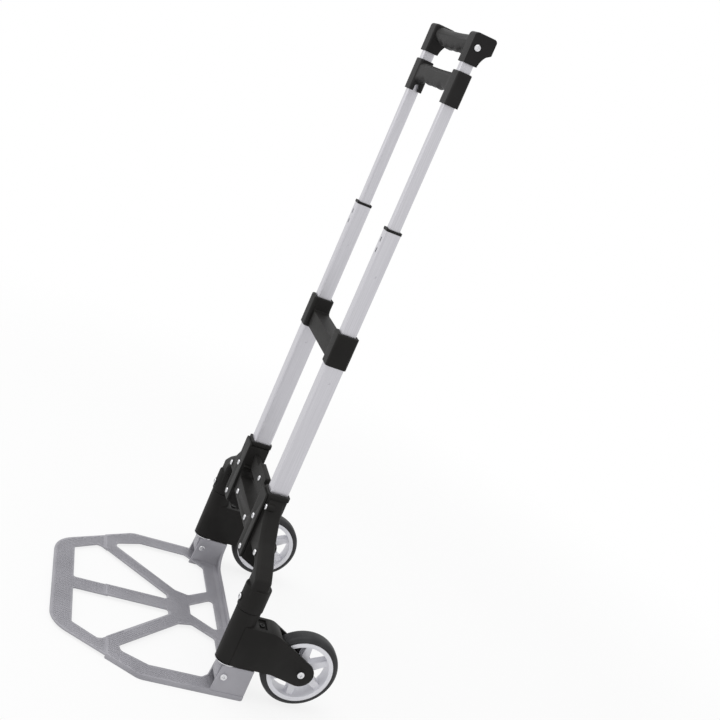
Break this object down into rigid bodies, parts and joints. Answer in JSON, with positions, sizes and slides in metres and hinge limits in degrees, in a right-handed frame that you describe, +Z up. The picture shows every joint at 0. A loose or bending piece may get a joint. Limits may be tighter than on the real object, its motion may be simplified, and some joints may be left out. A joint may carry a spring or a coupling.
{
  "type": "folding hand truck",
  "caption": "Folding hand truck with a barred grey toe plate, fold-in wheels, telescopic silver tubes and a black grip above a sliding release grip.",
  "frame": {"origin": "on the floor under the middle of the truck's outer limits, standing open on its toe plate", "axes": "+Z up along the tubes, -Y towards the front edge of the toe plate, +X towards the right-hand wheel"},
  "size_m": [0.3838, 0.391, 0.929],
  "materials": {
    "plate_grey": "cast and painted silver grey, satin",
    "tube_silver": "satin anodised",
    "frame_black": "moulded, fine matt grain",
    "grip_black": "moulded, matt",
    "tyre_black": "smooth rubber",
    "rim_white": "silver-white moulding",
    "screw_steel": "bright plated",
    "inner_steel": "plain turned"
  },
  "bodies": {
    "frame": {"crossbar": "frame_black", "crossbar_screws": "screw_steel", "arm_screws": "screw_steel", "collar_bridge": "frame_black", "side_frame_right": "frame_black", "side_frame_left": "frame_black", "lower_tube_right": "tube_silver", "lower_tube_left": "tube_silver", "lower_bush_right": "grip_black", "lower_bush_left": "grip_black", "wheel_post_right": "inner_steel", "wheel_post_left": "inner_steel", "foot_block_right": "plate_grey", "foot_block_left": "plate_grey", "thrust_washer_right": "screw_steel", "thrust_washer_left": "screw_steel"},
    "toe_plate": {"toe_plate": "plate_grey", "hinge_screw_right": "screw_steel", "hinge_screw_left": "screw_steel"},
    "middle_stage": {"middle_tube_right": "tube_silver", "middle_tube_left": "tube_silver", "middle_ring_right": "grip_black", "middle_ring_left": "grip_black", "middle_guide_right": "grip_black", "middle_guide_left": "grip_black", "middle_lock_pin_right": "inner_steel", "middle_lock_pin_left": "inner_steel"},
    "upper_stage": {"top_grip": "grip_black", "grip_screws": "screw_steel", "upper_tube_right": "tube_silver", "upper_tube_left": "tube_silver", "upper_guide_right": "grip_black", "upper_guide_left": "grip_black", "upper_lock_pins_right": "inner_steel", "upper_lock_pins_left": "inner_steel"},
    "release_grip": {"release_grip": "grip_black", "release_rod_right": "inner_steel", "release_rod_left": "inner_steel", "release_pin_right": "inner_steel", "release_pin_left": "inner_steel", "return_spring_right": "inner_steel", "return_spring_left": "inner_steel"},
    "wheel_bracket_right": {"wheel_bracket_right": "frame_black", "bracket_screw_right": "screw_steel", "axle_bolt_right": "screw_steel", "axle_nut_right": "screw_steel"},
    "wheel_right": {"wheel_rim_right": "rim_white", "tyre_right": "tyre_black", "wheel_bearings_right": "inner_steel"},
    "wheel_bracket_left": {"wheel_bracket_left": "frame_black", "bracket_screw_left": "screw_steel", "axle_bolt_left": "screw_steel", "axle_nut_left": "screw_steel"},
    "wheel_left": {"wheel_rim_left": "rim_white", "tyre_left": "tyre_black", "wheel_bearings_left": "inner_steel"}
  },
  "joints": [
    {"name": "plate_fold", "type": "hinge", "parent": "frame", "child": "toe_plate", "pos_m": [0, 0.0385, 0.031], "axis": [-1, 0, 0], "range_deg": [0, 90]},
    {"name": "middle_slide", "type": "slide", "parent": "frame", "child": "middle_stage", "axis": [0, 0, 1], "range_m": [-0.1445, 0]},
    {"name": "upper_slide", "type": "slide", "parent": "middle_stage", "child": "upper_stage", "axis": [0, 0, 1], "range_m": [-0.17, 0]},
    {"name": "release_press", "type": "slide", "parent": "upper_stage", "child": "release_grip", "axis": [0, 0, 1], "range_m": [0, 0.008], "stiffness_N_per_m": 400, "springref_m": -0.012, "deforming": ["return_spring_right", "return_spring_left"]},
    {"name": "bracket_fold_right", "type": "hinge", "parent": "frame", "child": "wheel_bracket_right", "pos_m": [0.172, 0.0385, 0.09], "axis": [0, 0, 1], "range_deg": [0, 90]},
    {"name": "wheel_spin_right", "type": "hinge", "parent": "wheel_bracket_right", "child": "wheel_right", "pos_m": [0.172, 0.1405, 0.0605], "axis": [1, 0, 0], "continuous": true},
    {"name": "bracket_fold_left", "type": "hinge", "parent": "frame", "child": "wheel_bracket_left", "pos_m": [-0.172, 0.0385, 0.09], "axis": [0, 0, -1], "range_deg": [0, 90]},
    {"name": "wheel_spin_left", "type": "hinge", "parent": "wheel_bracket_left", "child": "wheel_left", "pos_m": [-0.172, 0.1405, 0.0605], "axis": [1, 0, 0], "continuous": true}
  ],
  "couplings": [
    {"joint": "bracket_fold_right", "follows": "plate_fold", "ratio": 1},
    {"joint": "bracket_fold_left", "follows": "plate_fold", "ratio": 1}
  ]
}
